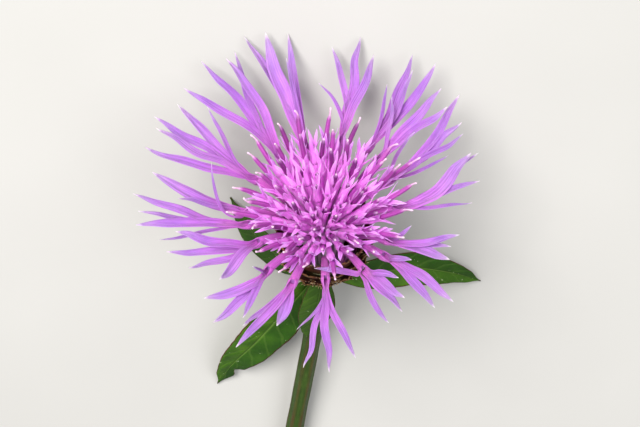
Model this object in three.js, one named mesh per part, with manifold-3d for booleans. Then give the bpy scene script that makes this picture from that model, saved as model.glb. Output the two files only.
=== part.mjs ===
// A knapweed flower head on its cut stem with four leaves below the head, lying as picked on a flat surface.
// Millimetres, +Z up, the surface at z = 0. The head faces +Y and upwards, and the stem runs towards -Y.
// The origin is under the middle of the whole flower, on the surface.
//
// The head is built in its own frame: its origin is the centre of the involucre's mouth and +Z is its axis.
// An azimuth is measured round that axis from +X, and a lean is an angle away from it. Angles are in degrees.
import * as THREE from "three";
import { mergeVertices } from "three/addons/utils/BufferGeometryUtils.js";
import Module from "manifold-3d";

const wasm = await Module();
wasm.setup();

const rad = THREE.MathUtils.degToRad;

// ---------------------------------------------------------------- driving dimensions
const HEAD_LIFT = 30; // between the head's axis and the surface
const HEAD_HEIGHT = 15.5; // of the mouth's centre above the surface
const INVOLUCRE_DEPTH = 11; // from the mouth down to the stem
const FLORET_ROOT = -8.2; // height in the head's frame where the florets stand on the receptacle
const GAP = 0.3; // between pieces that touch

const RAY_RING = 4.4; // radius of the ring of ray florets at the mouth
const RAY_ROOT_RING = 2.6; // and on the receptacle
const RAY_RADII = [0.24, 0.3, 0.36, 0.45, 0.62]; // of a ray floret's tube, from its root to where it splits
const LOBE_THICKNESS = 0.3;
const LOBE_ROOT = 1.6; // how far inside the tube's end a lobe starts
const LOBE_BELLY = 0.55; // how far along a lobe is widest

const DISC_COUNT = 32;
const DISC_RING = 3.2; // radius of the outermost disc florets where they begin to lean
const DISC_RISE = 1.6; // and how high above the mouth that is
const DISC_LEAN = 50; // lean of the outermost disc floret
const DISC_ROOT = 0.19; // radii along a disc floret
const DISC_TUBE = 0.3;
const DISC_THROAT = 0.5;
const DISC_LOBES = { radius: 0.8, height: 3, notch: 0.4 }; // its five lobes, joined into a crown
const ANTHER_RADIUS = 0.34;
const GOLDEN_ANGLE = 137.508;

const BRACT_THICKNESS = 0.28;
const BRACT_LENGTH = 3.8;
const BRACT_NOTCH = 1.1; // how deep the edge dips between two bracts
const BRACT_TUCK = 0.9; // how far under the row below a bract's foot lies

const STEM_RADIUS = 1.3;
const STEM_NECK = 1.55; // radius just under the involucre
const LEAF_THICKNESS = 0.34;

// ---------------------------------------------------------------- shapes
// A closed solid through rings of points. Each ring turns anticlockwise about the way the rings run.
function closeRings(rings) {
  const count = rings[0].length;
  const points = rings.flat();
  const middle = (ring) =>
    ring.reduce((sum, p) => sum.add(p), new THREE.Vector3()).divideScalar(count);
  const startPole = points.push(middle(rings[0])) - 1;
  const endPole = points.push(middle(rings[rings.length - 1])) - 1;
  const faces = [];
  const last = (rings.length - 1) * count;
  for (let i = 0; i < count; i++) {
    const next = (i + 1) % count;
    faces.push(startPole, next, i);
    faces.push(endPole, last + i, last + next);
    for (let a = 0; a < last; a += count) {
      faces.push(a + i, a + next, a + count + next);
      faces.push(a + i, a + count + next, a + count + i);
    }
  }
  const geometry = new THREE.BufferGeometry().setFromPoints(points);
  geometry.setIndex(faces);
  return geometry;
}

// A solid along a curve. section(t, i) is station i's ring, each point [across, up, ahead] from the curve.
// "up" is the side of the curve that faces along the up vector.
function loft(curve, up, stations, section) {
  const rings = stations.map((t, i) => {
    const centre = curve.getPoint(t);
    const ahead = curve.getTangent(t);
    const rise = up.clone().addScaledVector(ahead, -up.dot(ahead)).normalize();
    const across = new THREE.Vector3().crossVectors(rise, ahead);
    return section(t, i).map(([x, y, z = 0]) =>
      centre.clone().addScaledVector(across, x).addScaledVector(rise, y).addScaledVector(ahead, z),
    );
  });
  return closeRings(rings);
}

// A regular ring of points, with a radius for each.
function ringOf(count, radiusAt, aheadAt = () => 0) {
  return Array.from({ length: count }, (_, i) => {
    const a = (2 * Math.PI * i) / count;
    return [radiusAt(i) * Math.cos(a), radiusAt(i) * Math.sin(a), aheadAt(i)];
  });
}

function solidOf(geometry) {
  const merged = mergeVertices(geometry);
  return new wasm.Manifold(
    new wasm.Mesh({
      numProp: 3,
      vertProperties: merged.attributes.position.array,
      triVerts: new Uint32Array(merged.index.array),
    }),
  );
}

function joined(geometries) {
  const whole = geometries.map(solidOf).reduce((a, b) => a.add(b));
  const mesh = whole.getMesh();
  const geometry = new THREE.BufferGeometry();
  geometry.setAttribute("position", new THREE.BufferAttribute(mesh.vertProperties, 3));
  geometry.setIndex(new THREE.BufferAttribute(mesh.triVerts, 1));
  return geometry;
}

// The point at a distance from the mouth's centre, an azimuth and a lean, in the head's frame.
function polar(azimuth, lean, distance) {
  const out = distance * Math.sin(rad(lean));
  const along = distance * Math.cos(rad(lean));
  return new THREE.Vector3(out * Math.cos(rad(azimuth)), out * Math.sin(rad(azimuth)), along);
}

function material(color, roughness) {
  return new THREE.MeshStandardMaterial({ color, roughness, metalness: 0 });
}

const MATERIALS = {
  ray: material("#c583ea", 0.55),
  disc: material("#df6fd2", 0.5),
  bract: material("#4a2c18", 0.75),
  receptacle: material("#c9cf9a", 0.7),
  stem: material("#4f6628", 0.6),
  leaf: material("#3f6a1f", 0.5),
};

function piece(name, geometry, finish) {
  const mesh = new THREE.Mesh(geometry, MATERIALS[finish]);
  mesh.name = name;
  return mesh;
}

const numbered = (stem, i) => `${stem}_${String(i + 1).padStart(2, "0")}`;

// ---------------------------------------------------------------- ray florets
// A ray floret: its tube's azimuth and lean, how far from the mouth's centre the tube splits, and its lobes.
// A lobe: its tip's azimuth, lean and distance from the mouth's centre, its greatest width, its bow sideways.
const ray = (at, lean, throat, ...lobes) => ({ at, lean, throat, lobes });

const RAYS = [
  ray(
    4, 67, 11,
    [18, 69, 21.5, 0.9, -0.2], [16, 63, 21, 1.8, -1.2], [5, 65, 21, 1.1, 0.2],
    [-1, 69, 19.4, 0.6, -0.6],
  ),
  ray(
    28, 66, 11,
    [37, 58, 16.6, 0.5, 1], [38, 65, 23.6, 1.3, -0.9], [30, 66, 21.6, 1.3, -0.3],
    [24, 62, 21.2, 0.9, -0.4], [23, 69, 18, 0.5, -0.8],
  ),
  ray(
    45, 66, 12,
    [58, 62, 18.3, 0.6, -0.3], [45, 67, 22.6, 1.5, 0], [37, 63, 21.5, 1.3, -0.2],
  ),
  ray(
    58, 70, 12.5,
    [63, 65, 19.5, 0.5, -0.4], [61, 72, 24.6, 1.1, -0.6], [57, 66, 22.5, 0.9, -1],
    [53, 71, 24.9, 1.3, -1.2],
  ),
  ray(
    78, 69, 12,
    [92, 66, 18, 0.5, -1.4], [87, 69, 22.8, 1, -1.2], [78, 69, 24.4, 1.3, -0.2],
    [72, 67, 22.5, 1.4, -0.5],
  ),
  ray(
    103, 69, 11,
    [114, 70, 26, 1.3, -0.3], [108, 67, 25.4, 2, 0.8], [101, 69, 24.8, 1.2, 0.1],
    [104, 62, 21.5, 0.7, 0],
  ),
  ray(
    125, 71, 11,
    [138, 73, 24.6, 1.2, -0.3], [128, 74, 26, 1.3, -0.5], [123, 67, 24.2, 1.4, -1.5],
    [118, 73, 25, 0.9, 0.5],
  ),
  ray(
    152, 68, 11.5,
    [162, 72, 24.2, 1.3, 1.2], [153, 69, 25, 1.3, 0], [158, 65, 24.3, 1.1, 0.4],
    [145, 69, 23.6, 1.5, 0.2], [141, 62, 20.8, 0.6, 0.3],
  ),
  ray(
    176, 72, 11,
    [171, 69, 22.6, 1.6, 0.9], [161, 61, 16.5, 0.4, 3.4], [180, 67, 19.2, 0.7, 0],
  ),
  ray(
    188, 73, 11,
    [179, 71, 24.4, 1.1, 0.2], [182, 76, 23.3, 0.9, 0.2], [189, 72, 24, 1.6, -0.3],
    [192, 77, 21, 0.5, 0.3],
  ),
  ray(
    205, 72, 10.5,
    [194, 68, 19.7, 1.5, 0.4], [198, 75, 20.6, 1.1, 0.6], [205, 78, 18.4, 1, 0.9],
    [218, 72, 16.6, 1.5, 0.2],
  ),
  ray(
    227, 76, 11.5,
    [220, 76, 19.2, 1.4, 1], [228, 80, 20, 1.4, 0.8], [224, 65, 13, 0.5, 0.3], [236, 77, 17.6, 1, 0.2],
  ),
  ray(
    247, 78, 11,
    [240, 80, 21, 1.3, 0], [249, 82, 15.7, 1.7, 0.2], [236, 84, 17.4, 0.9, 0],
  ),
  ray(
    272, 80, 9.5,
    [258, 82, 15.5, 0.4, 0.8], [263, 87, 19.6, 0.9, 0.2], [272, 84, 20.6, 1.1, -0.2],
    [282, 86, 18.8, 1, -0.3],
  ),
  ray(
    305, 77, 10.2,
    [316, 74, 13.2, 1, 0], [311, 78, 15.3, 1.2, 0.2], [307, 82, 16, 1.3, 0], [300, 85, 16, 0.8, -1],
    [262, 66, 8.2, 1, 0],
  ),
  ray(
    323, 73, 11,
    [316, 78, 19, 1.4, 0.2], [320, 74, 21, 1.3, 0.5], [325, 66, 14.2, 0.9, 0],
  ),
  ray(
    335, 70, 10.5,
    [347, 65, 12.2, 0.6, -0.5], [343, 66, 18.7, 1.1, -0.4], [340, 71, 17.4, 0.9, 0.2],
    [335, 73, 17.6, 1.5, 0.2],
  ),
];

function rayTube({ at, lean, throat }) {
  const bundle = (radius, height) => polar(at, 90, radius).setZ(height);
  return new THREE.CatmullRomCurve3([
    bundle(RAY_ROOT_RING, FLORET_ROOT + GAP),
    bundle(RAY_RING - 0.25, FLORET_ROOT / 2),
    bundle(RAY_RING + 0.25, 0.2),
    polar(at, lean - 2, throat * 0.6),
    polar(at, lean, throat),
  ]);
}

// Width of a lobe along it, as a share of its greatest: it widens to its belly, then draws to a point.
function lobeWidth(t) {
  if (t < LOBE_BELLY) return 0.42 + 0.58 * Math.sin((Math.PI * t) / (2 * LOBE_BELLY));
  return 1 - 0.94 * ((t - LOBE_BELLY) / (1 - LOBE_BELLY)) ** 2;
}

function rayLobe(tube, throat, [azimuth, lean, distance, width, bow]) {
  const ahead = tube.getTangent(1);
  const start = tube.getPoint(1).addScaledVector(ahead, -LOBE_ROOT);
  const tip = polar(azimuth, lean, distance);
  const length = Math.max(distance - throat, 0.8 * tip.distanceTo(tube.getPoint(1)));
  const side = polar(azimuth + 90, 90, bow);
  const reach = tip.clone().sub(start).normalize();
  const curve = new THREE.CubicBezierCurve3(
    start,
    start.clone().addScaledVector(ahead, length * 0.42).add(side),
    tip.clone().addScaledVector(reach, -length * 0.4).add(side),
    tip,
  );
  return loft(curve, new THREE.Vector3(0, 0, 1), [0, 0.25, 0.55, 0.8, 1], (t) => {
    const half = (width * lobeWidth(t)) / 2;
    const rise = (LOBE_THICKNESS / 2) * (t === 1 ? 0.4 : 1);
    return [[half, 0], [0, rise], [-half, 0], [0, -rise]];
  });
}

function rayFloret(floret) {
  const tube = rayTube(floret);
  const inward = polar(floret.at, 90, -1).setZ(1);
  const body = loft(tube, inward, [0, 0.25, 0.5, 0.75, 1], (_, i) => ringOf(6, () => RAY_RADII[i]));
  return joined([body, ...floret.lobes.map((lobe) => rayLobe(tube, floret.throat, lobe))]);
}

// ---------------------------------------------------------------- disc florets
// Every second floret of a sunflower spiral. The outer ones lean further and are longer.
// From its throat a floret's ring of lobes stands open round the anther tube, and the style ends in a point.
function discFloret(i) {
  const place = 2 * i + 1;
  const spread = Math.sqrt((place + 0.5) / (2 * DISC_COUNT)); // 0 in the middle of the disc, 1 at its edge
  const azimuth = place * GOLDEN_ANGLE;
  const ahead = polar(azimuth, DISC_LEAN * spread ** 1.1, 1);
  const limb = 4.2 + 1.3 * spread + 0.5 * Math.sin(place * 2.4);
  const anther = 4.2 + 0.5 * spread;
  const style = 0.5 + 1.2 * spread;

  const root = polar(azimuth, 90, DISC_RING * spread * 0.62).setZ(FLORET_ROOT + GAP);
  const mouth = polar(azimuth, 90, DISC_RING * spread).setZ(DISC_RISE);
  const bend = mouth.clone().addScaledVector(ahead, limb * 0.45);
  bend.z += 0.25;
  const throat = mouth.clone().addScaledVector(ahead, limb);
  const tube = new THREE.CatmullRomCurve3([root, mouth.clone().lerp(root, 0.45), mouth, bend, throat]);

  const even = (radius, onward = 0) => ringOf(10, () => radius, () => onward);
  const crown = ringOf(
    10,
    (k) => (k % 2 ? DISC_THROAT : DISC_LOBES.radius),
    (k) => (k % 2 ? DISC_LOBES.notch : DISC_LOBES.height),
  );
  const rings = [
    { t: 0, ring: even(DISC_ROOT) },
    { t: 0.5, ring: even(DISC_TUBE) },
    { t: 1, ring: even(DISC_THROAT) },
    { t: 1, ring: crown },
    { t: 1, ring: even(DISC_TUBE, 0.5) },
    { t: 1, ring: even(ANTHER_RADIUS, anther) },
    { t: 1, ring: even(0.12, anther + style) },
  ];
  const inward = polar(azimuth, 90, -1).setZ(1);
  return loft(tube, inward, rings.map(({ t }) => t), (_, station) => rings[station].ring);
}

// ---------------------------------------------------------------- involucre
// Radius of the involucre's outside at a height in the head's frame.
const INVOLUCRE_OUTLINE = new THREE.SplineCurve([
  new THREE.Vector2(2.2, -INVOLUCRE_DEPTH),
  new THREE.Vector2(3.4, -9.8),
  new THREE.Vector2(4.8, -7.4),
  new THREE.Vector2(5.7, -4.8),
  new THREE.Vector2(5.9, -2.5),
  new THREE.Vector2(5.7, 0),
  new THREE.Vector2(5.6, 1),
]);

function involucreRadius(height) {
  const points = INVOLUCRE_OUTLINE.getPoints(60);
  const after = Math.max(1, points.findIndex((p) => p.y >= height));
  const [a, b] = [points[after - 1], points[after]];
  return THREE.MathUtils.mapLinear(height, a.y, b.y, a.x, b.x);
}

const BRACT_ROWS = [
  { tip: -8.2, count: 9 },
  { tip: -6.4, count: 11 },
  { tip: -4.4, count: 12 },
  { tip: -2.1, count: 12 },
  { tip: 0.4, count: 12 },
];

// One row of overlapping bracts, joined edge to edge into a crown whose tips stand on the outline.
function bractRow({ tip, count }, row) {
  const foot = Math.max(tip - BRACT_LENGTH, -INVOLUCRE_DEPTH + 0.5);
  const columns = 2 * count;
  const turn = row % 2 ? Math.PI / count : 0;
  const depthAt = (height) => (BRACT_TUCK * (tip - height)) / BRACT_LENGTH;
  const point = (column, height, inset) => {
    const angle = turn + (2 * Math.PI * column) / columns;
    const radius = involucreRadius(height) - depthAt(height) - inset;
    return new THREE.Vector3(radius * Math.cos(angle), radius * Math.sin(angle), height);
  };
  const rings = Array.from({ length: columns }, (_, column) => {
    const top = column % 2 ? tip - BRACT_NOTCH : tip;
    const middle = (foot + tip) / 2;
    return [
      point(column, foot, 0),
      point(column, middle, 0),
      point(column, top, 0),
      point(column, top, BRACT_THICKNESS),
      point(column, middle, BRACT_THICKNESS),
      point(column, foot, BRACT_THICKNESS),
    ];
  });
  return closeLoop(rings);
}

// A ring-shaped solid: like closeRings, but the last ring joins the first.
function closeLoop(rings) {
  const count = rings[0].length;
  const faces = [];
  rings.forEach((_, a) => {
    const here = a * count;
    const there = ((a + 1) % rings.length) * count;
    for (let i = 0; i < count; i++) {
      const next = (i + 1) % count;
      faces.push(here + i, there + i, there + next);
      faces.push(here + i, there + next, here + next);
    }
  });
  const geometry = new THREE.BufferGeometry().setFromPoints(rings.flat());
  geometry.setIndex(faces);
  return geometry;
}

// The fleshy top of the stem that carries the florets and the bracts.
function receptacle() {
  const top = FLORET_ROOT;
  const outline = [
    new THREE.Vector2(0, -INVOLUCRE_DEPTH),
    new THREE.Vector2(0.9, -INVOLUCRE_DEPTH),
    new THREE.Vector2(1.5, -INVOLUCRE_DEPTH + 0.7),
    new THREE.Vector2(2.2, top - 1),
    new THREE.Vector2(2.9, top - 0.2),
    new THREE.Vector2(0, top),
  ];
  return new THREE.LatheGeometry(outline, 16).rotateX(Math.PI / 2);
}

// ---------------------------------------------------------------- stem and leaves
// The plant's frame: the surface at z = 0, the mouth's centre above its origin.
const HEAD_AXIS = new THREE.Vector3(0, Math.cos(rad(HEAD_LIFT)), Math.sin(rad(HEAD_LIFT)));
const MOUTH = new THREE.Vector3(0, 0, HEAD_HEIGHT);
const STEM_TOP = MOUTH.clone().addScaledVector(HEAD_AXIS, -INVOLUCRE_DEPTH - GAP);
const STEM_END = new THREE.Vector3(-9.1, -76, STEM_RADIUS);

const STEM = new THREE.CubicBezierCurve3(
  STEM_TOP,
  STEM_TOP.clone().addScaledVector(HEAD_AXIS, -9),
  new THREE.Vector3(-4.1, -44, STEM_RADIUS),
  STEM_END,
);

function stem() {
  const ridges = 6;
  const stations = [0, 0.06, 0.13, 0.22, 0.32, 0.43, 0.55, 0.7, 0.85, 1];
  return loft(STEM, new THREE.Vector3(0, 0, 1), stations, (t) => {
    const radius = THREE.MathUtils.lerp(STEM_NECK, STEM_RADIUS, Math.min(1, t * 4));
    return ringOf(2 * ridges, (k) => (k % 2 ? radius * 0.88 : radius));
  });
}

// on: where along the stem the leaf leaves it. side: which way its foot stands off the stem.
// path: its rib, after the foot.
const LEAVES = [
  {
    name: "leaf_left",
    on: 0.09,
    side: [-1, 0, 0.3],
    path: [[-5, -19.4, 6.6], [-9.3, -26.4, 4.7], [-12.9, -32.2, 2.3], [-15.1, -37, 0.4]],
    width: 6.6,
    up: [0.25, 0.2, 1],
  },
  {
    name: "leaf_right",
    on: 0.07,
    side: [1, 0, 0.1],
    path: [[5.8, -13, 7.4], [12, -13.4, 5.4], [17.7, -16, 2.8], [21.8, -19, 0.4]],
    width: 4.7,
    up: [-0.2, 0.35, 1],
  },
  {
    name: "leaf_upper",
    on: 0.03,
    side: [0, -0.4, 0.92],
    path: [[-0.7, -16.4, 9.4], [-1.5, -20.2, 8.2], [-2.2, -24, 6.7]],
    width: 4.6,
    up: [0, -0.2, 1],
  },
  {
    name: "leaf_under",
    on: 0.04,
    side: [-1, -0.3, -0.4],
    path: [[-5.3, -11.8, 5.4], [-9.2, -9.6, 2.8], [-12.4, -5.4, 0.4]],
    width: 4.4,
    up: [-0.5, 0, 1],
  },
];

// Half width of a leaf along its rib, as a share of its greatest half width.
function leafWidth(t) {
  return 0.16 + 0.84 * Math.sin(Math.PI * t ** 0.85);
}

function leaf({ on, side, path, width, up }) {
  const away = new THREE.Vector3(...side).normalize();
  const foot = STEM.getPoint(on).addScaledVector(away, STEM_NECK + GAP);
  const rib = new THREE.CatmullRomCurve3([foot, ...path.map((p) => new THREE.Vector3(...p))]);
  const stations = [0, 0.08, 0.17, 0.27, 0.38, 0.5, 0.62, 0.73, 0.83, 0.91, 0.96, 1];
  return loft(rib, new THREE.Vector3(...up), stations, (t) => {
    const half = t === 1 ? 0.15 : (width / 2) * leafWidth(t);
    const fold = half * 0.28; // the blade rises a little from its rib to its edges
    const rise = LEAF_THICKNESS / 2;
    return [[half, fold], [0, rise], [-half, fold], [-half, fold - rise], [0, -rise], [half, fold - rise]];
  });
}

// ---------------------------------------------------------------- assembly
const head = new THREE.Group();
head.position.copy(MOUTH);
head.rotation.x = -rad(90 - HEAD_LIFT);
head.add(piece("receptacle", receptacle(), "receptacle"));
BRACT_ROWS.forEach((row, i) => head.add(piece(`bract_row_${i + 1}`, bractRow(row, i), "bract")));
RAYS.forEach((ray, i) => head.add(piece(numbered("ray_floret", i), rayFloret(ray), "ray")));
for (let i = 0; i < DISC_COUNT; i++) head.add(piece(numbered("disc_floret", i), discFloret(i), "disc"));

const plant = new THREE.Group();
plant.add(head);
plant.add(piece("stem", stem(), "stem"));
LEAVES.forEach((shape) => plant.add(piece(shape.name, leaf(shape), "leaf")));

const flower = new THREE.Group();
flower.add(plant);
const bounds = new THREE.Box3().setFromObject(flower, true);
const middle = bounds.getCenter(new THREE.Vector3());
plant.position.set(-middle.x, -middle.y, -bounds.min.z);

export default flower;
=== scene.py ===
import math

import bpy
import numpy as np
from mathutils import Matrix, Vector


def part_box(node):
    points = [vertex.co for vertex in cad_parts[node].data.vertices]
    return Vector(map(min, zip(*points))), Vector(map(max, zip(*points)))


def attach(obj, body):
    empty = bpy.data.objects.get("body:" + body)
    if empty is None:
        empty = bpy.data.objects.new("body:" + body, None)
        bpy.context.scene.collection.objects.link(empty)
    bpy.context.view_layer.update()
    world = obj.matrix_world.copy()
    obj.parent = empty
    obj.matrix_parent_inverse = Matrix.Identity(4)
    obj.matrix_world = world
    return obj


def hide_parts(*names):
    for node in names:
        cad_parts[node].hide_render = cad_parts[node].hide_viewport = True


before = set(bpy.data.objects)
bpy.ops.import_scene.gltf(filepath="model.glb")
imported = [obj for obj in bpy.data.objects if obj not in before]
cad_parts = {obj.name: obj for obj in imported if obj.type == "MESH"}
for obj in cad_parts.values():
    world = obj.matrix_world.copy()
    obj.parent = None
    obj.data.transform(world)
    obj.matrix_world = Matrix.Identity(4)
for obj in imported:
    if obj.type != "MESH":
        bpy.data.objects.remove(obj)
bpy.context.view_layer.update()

# Everything is worked out in millimetres and scaled when it becomes a mesh.
MM = 0.001
rng = np.random.default_rng(11)

# ---------------------------------------------------------------- the frame's driving dimensions
HEAD_LIFT = math.radians(30)  # between the head's axis and the floor
HEAD_HEIGHT = 15.5  # of the mouth's centre above the floor
INVOLUCRE_DEPTH = 11.0
FLORET_ROOT = -7.9
RIM_RADIUS, RIM_HEIGHT = 2.9, -8.4  # the receptacle's widest ring

# Azimuth, lean and where it splits; then each lobe's azimuth, lean, distance, width and bow.
RAYS = [
    (4, 67, 11, [(18, 69, 21.5, 0.9, -0.2), (16, 63, 21, 1.8, -1.2), (5, 65, 21, 1.1, 0.2),
                 (-1, 69, 19.4, 0.6, -0.6)]),
    (28, 66, 11, [(37, 58, 16.6, 0.5, 1), (38, 65, 23.6, 1.3, -0.9), (30, 66, 21.6, 1.3, -0.3),
                  (24, 62, 21.2, 0.9, -0.4), (23, 69, 18, 0.5, -0.8)]),
    (45, 66, 12, [(58, 62, 18.3, 0.6, -0.3), (45, 67, 22.6, 1.5, 0), (37, 63, 21.5, 1.3, -0.2)]),
    (58, 70, 12.5, [(63, 65, 19.5, 0.5, -0.4), (61, 72, 24.6, 1.1, -0.6), (57, 66, 22.5, 0.9, -1),
                    (53, 71, 24.9, 1.3, -1.2)]),
    (78, 69, 12, [(92, 66, 18, 0.5, -1.4), (87, 69, 22.8, 1, -1.2), (78, 69, 24.4, 1.3, -0.2),
                  (72, 67, 22.5, 1.4, -0.5)]),
    (103, 69, 11, [(114, 70, 26, 1.3, -0.3), (108, 67, 25.4, 2, 0.8), (101, 69, 24.8, 1.2, 0.1),
                   (104, 62, 21.5, 0.7, 0)]),
    (125, 71, 11, [(138, 73, 24.6, 1.2, -0.3), (128, 74, 26, 1.3, -0.5), (123, 67, 24.2, 1.4, -1.5),
                   (118, 73, 25, 0.9, 0.5)]),
    (152, 68, 11.5, [(162, 72, 24.2, 1.3, 1.2), (153, 69, 25, 1.3, 0), (158, 65, 24.3, 1.1, 0.4),
                     (145, 69, 23.6, 1.5, 0.2), (141, 62, 20.8, 0.6, 0.3)]),
    (176, 72, 11, [(171, 69, 22.6, 1.6, 0.9), (161, 61, 16.5, 0.4, 3.4), (180, 67, 19.2, 0.7, 0)]),
    (188, 73, 11, [(179, 71, 24.4, 1.1, 0.2), (182, 76, 23.3, 0.9, 0.2), (189, 72, 24, 1.6, -0.3),
                   (192, 77, 21, 0.5, 0.3)]),
    (205, 72, 10.5, [(194, 68, 19.7, 1.5, 0.4), (198, 75, 20.6, 1.1, 0.6), (205, 78, 18.4, 1, 0.9),
                     (218, 72, 16.6, 1.5, 0.2)]),
    (227, 76, 11.5, [(220, 76, 19.2, 1.4, 1), (228, 80, 20, 1.4, 0.8), (224, 65, 13, 0.5, 0.3),
                     (236, 77, 17.6, 1, 0.2)]),
    (247, 78, 11, [(240, 80, 21, 1.3, 0), (249, 82, 15.7, 1.7, 0.2), (236, 84, 17.4, 0.9, 0)]),
    (272, 80, 9.5, [(258, 82, 15.5, 0.4, 0.8), (263, 87, 19.6, 0.9, 0.2), (272, 84, 20.6, 1.1, -0.2),
                    (282, 86, 18.8, 1, -0.3)]),
    (305, 77, 10.2, [(316, 74, 13.2, 1, 0), (311, 78, 15.3, 1.2, 0.2), (307, 82, 16, 1.3, 0),
                     (300, 85, 16, 0.8, -1), (262, 66, 8.2, 1, 0)]),
    (323, 73, 11, [(316, 78, 19, 1.4, 0.2), (320, 74, 21, 1.3, 0.5), (325, 66, 14.2, 0.9, 0)]),
    (335, 70, 10.5, [(347, 65, 12.2, 0.6, -0.5), (343, 66, 18.7, 1.1, -0.4), (340, 71, 17.4, 0.9, 0.2),
                     (335, 73, 17.6, 1.5, 0.2)]),
]
RAY_RING, RAY_ROOT_RING = 4.4, 2.6
RAY_RADII = [0.24, 0.3, 0.36, 0.45, 0.62]
RAY_STATIONS, RAY_SIDES = 44, 16
RAY_WALL = 0.1
TUBE_MARK = 0.42  # the mark along runs to here on the tube, and on to 1 on its lobes
LOBE_ROOT = 1.6  # a lobe starts this far back from the end of the tube's line
TUBE_OVERLAP = 0.25  # and the tube's skin goes on past that by this much
LOBE_FOOT_RADIUS = 0.56  # there it is curled round the tube's middle
LOBE_SHARE = 0.9  # of the tube's rim, for all the lobes of a ray
LOBE_FLATTENS, LOBE_WIDENS = 2.3, 2.8  # both over this length
LOBE_BELLY = 0.55  # where a lobe is widest
LOBE_STATIONS, LOBE_PLACES = 36, 9

DISC_PLACES = 64  # the CAD part has the odd ones
DISC_RING, DISC_RISE, DISC_LEAN = 3.2, 1.6, 50
GOLDEN_ANGLE = 137.508
DISC_LOBES = 5
COROLLA_MARK = 0.6  # the mark along runs to here on the tube, and on to 1 on its lobes
COROLLA_STATIONS, COROLLA_SIDES = 22, 12
TIP_STATIONS, TIP_PLACES = 16, 7  # of a disc floret's lobe
ANTHER_STATIONS, ANTHER_SIDES = 12, 15
STYLE_STATIONS, STYLE_SIDES = 10, 10
CRUMB_STATIONS, CRUMB_SIDES = 7, 8
STYLES_FROM = 0.66  # styles stand out past this share of the disc's radius
COROLLA_PLACE, ANTHER_PLACE, STYLE_PLACE = range(3)  # places in a disc floret's list of materials

OUTLINE_HEIGHT = [-11, -9.8, -7.4, -4.8, -2.5, 0, 1]
OUTLINE_RADIUS = [2.2, 3.4, 4.8, 5.7, 5.9, 5.7, 5.6]
BRACT_ROWS = [(-8.2, 9), (-6.4, 11), (-4.4, 12), (-2.1, 12), (0.4, 12)]  # height of the tips, and how many
BRACT_LENGTH, BRACT_TUCK = 3.8, 0.9
BRACT_STATIONS, BRACT_PLACES = 16, 11
FRINGE_HAIRS, FRINGE_SIDES = 13, 5
FRINGE_RADII = [0.085, 0.07, 0.045, 0.012]
SCALE_PLACE, FRINGE_PLACE = range(2)

STEM_RADIUS, STEM_NECK, STEM_RIDGES = 1.3, 1.55, 6
STEM_STATIONS, STEM_SIDES = 90, 48
NECK_RINGS = [(1.3, 1.5), (0.9, 1.38), (0.5, 1.2), (0.2, 1.06)]  # height into the cup, and swelling
CUT_DEPTH = 0.44  # the cut face's disc reaches this far into the stem
# Its rings: shares of the radius, and heights.
CUT_RINGS = [(0.97, 0.02), (0.9, 0.0), (0.6, -0.05), (0.3, -0.14), (0.05, -0.16)]
SKIN_PLACE, CUT_PLACE = range(2)
LEAF_THICKNESS = 0.34
LEAF_STATIONS, LEAF_PLACES = 56, 23
LEAF_FOOT = 0.9  # from the stem's middle
VEIN_PAIRS, VEIN_SLANT = 8, 0.12
LEAVES = {
    "leaf_left": dict(on=0.09, side=(-1, 0, 0.3), width=6.6, up=(0.25, 0.2, 1),
                      path=[(-5, -19.4, 6.6), (-9.3, -26.4, 4.7), (-12.9, -32.2, 2.3), (-15.1, -37, 0.4)]),
    "leaf_right": dict(on=0.07, side=(1, 0, 0.1), width=4.7, up=(-0.2, 0.35, 1),
                       path=[(5.8, -13, 7.4), (12, -13.4, 5.4), (17.7, -16, 2.8), (21.8, -19, 0.4)]),
    "leaf_upper": dict(on=0.03, side=(0, -0.4, 0.92), width=4.6, up=(0, -0.2, 1),
                       path=[(-0.7, -16.4, 9.4), (-1.5, -20.2, 8.2), (-2.2, -24, 6.7)]),
    "leaf_under": dict(on=0.04, side=(-1, -0.3, -0.4), width=4.4, up=(-0.5, 0, 1),
                       path=[(-5.3, -11.8, 5.4), (-9.2, -9.6, 2.8), (-12.4, -5.4, 0.4)]),
}

# ---------------------------------------------------------------- places
EX = np.array([1.0, 0, 0])
EY = np.array([0, math.sin(HEAD_LIFT), -math.cos(HEAD_LIFT)])
EZ = np.array([0, math.cos(HEAD_LIFT), math.sin(HEAD_LIFT)])  # the head's axis
rim_low, rim_high = (np.array(corner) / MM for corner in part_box("receptacle"))
MOUTH = np.array([
    (rim_low[0] + rim_high[0]) / 2,
    rim_high[1] - RIM_HEIGHT * EZ[1] - RIM_RADIUS * EY[1],
    rim_high[2] - RIM_HEIGHT * EZ[2] + RIM_RADIUS * EY[2],
])
PLANT = MOUTH - np.array([0, 0, HEAD_HEIGHT])


def in_world(v):
    """A direction of the head's frame, turned into the frame's."""
    v = np.asarray(v, float)
    return v[..., :1] * EX + v[..., 1:2] * EY + v[..., 2:] * EZ


def in_head(p):
    """Points of the head's frame, whose origin is the mouth's centre and whose +Z is the head's axis."""
    return MOUTH + in_world(p)


def in_plant(p):
    return PLANT + np.asarray(p, float)


STEM_TOP = MOUTH - EZ * (INVOLUCRE_DEPTH + 0.3)
STEM_POINTS = (
    STEM_TOP, STEM_TOP - EZ * 9,
    in_plant((-4.1, -44, STEM_RADIUS)), in_plant((-9.1, -76, STEM_RADIUS)),
)


def polar(azimuth, lean, distance):
    a, b = math.radians(azimuth), math.radians(lean)
    return distance * np.array([math.sin(b) * math.cos(a), math.sin(b) * math.sin(a), math.cos(b)])


def smooth(x, low=0.0, high=1.0):
    t = np.clip((np.asarray(x, float) - low) / (high - low), 0, 1)
    return t * t * (3 - 2 * t)


def unit(v):
    v = np.asarray(v, float)
    return v / np.linalg.norm(v, axis=-1, keepdims=True)


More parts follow.
